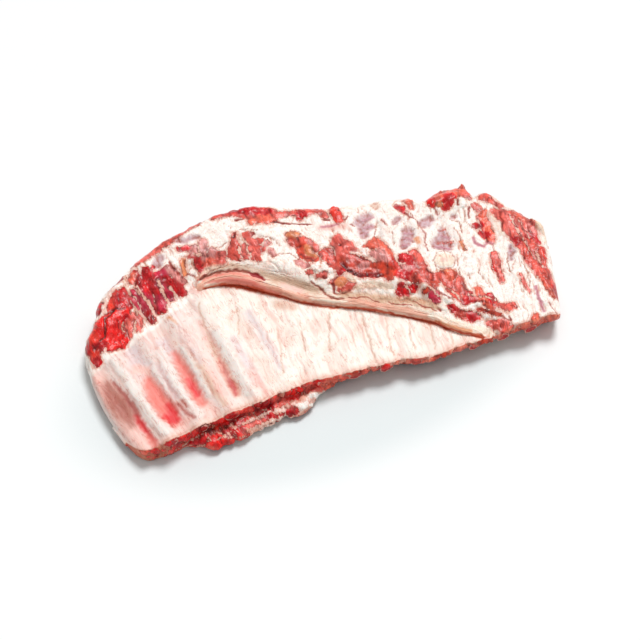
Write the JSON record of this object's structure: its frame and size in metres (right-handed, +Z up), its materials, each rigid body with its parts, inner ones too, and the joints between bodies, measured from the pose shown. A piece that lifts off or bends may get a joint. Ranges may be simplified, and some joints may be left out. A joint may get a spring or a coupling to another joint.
{
  "type": "rack of ribs",
  "caption": "Raw untrimmed rack of pork spareribs, bone side up: a ribbed slab with sawn bone ends along the front and a rolled skirt flap across it.",
  "frame": {"origin": "on the surface that the rack lies on, under the middle of its box", "axes": "+X along the rack, across the ribs, towards the end where the skirt flap tapers off; +Y along the ribs, from the sawn ends to the breast side; +Z up, out of the bone side"},
  "size_m": [0.4496, 0.2436, 0.0376],
  "materials": {
    "meat": "moist raw pork: creamy white fat and membrane with red, crimson and brown-red lean",
    "skirt": "moist pink-orange muscle sheet with a pale fat film",
    "bone": "sawn bone end, spongy marrow red inside a thin pale rim"
  },
  "bodies": {
    "root": {"meat_slab": "meat", "skirt_flap": "skirt", "rib_bone_01": "bone", "rib_bone_02": "bone", "rib_bone_03": "bone", "rib_bone_04": "bone", "rib_bone_05": "bone", "rib_bone_06": "bone", "rib_bone_07": "bone", "rib_bone_08": "bone", "rib_bone_09": "bone", "rib_bone_10": "bone", "rib_bone_11": "bone", "rib_bone_12": "bone", "rib_bone_13": "bone"}
  },
  "joints": []
}
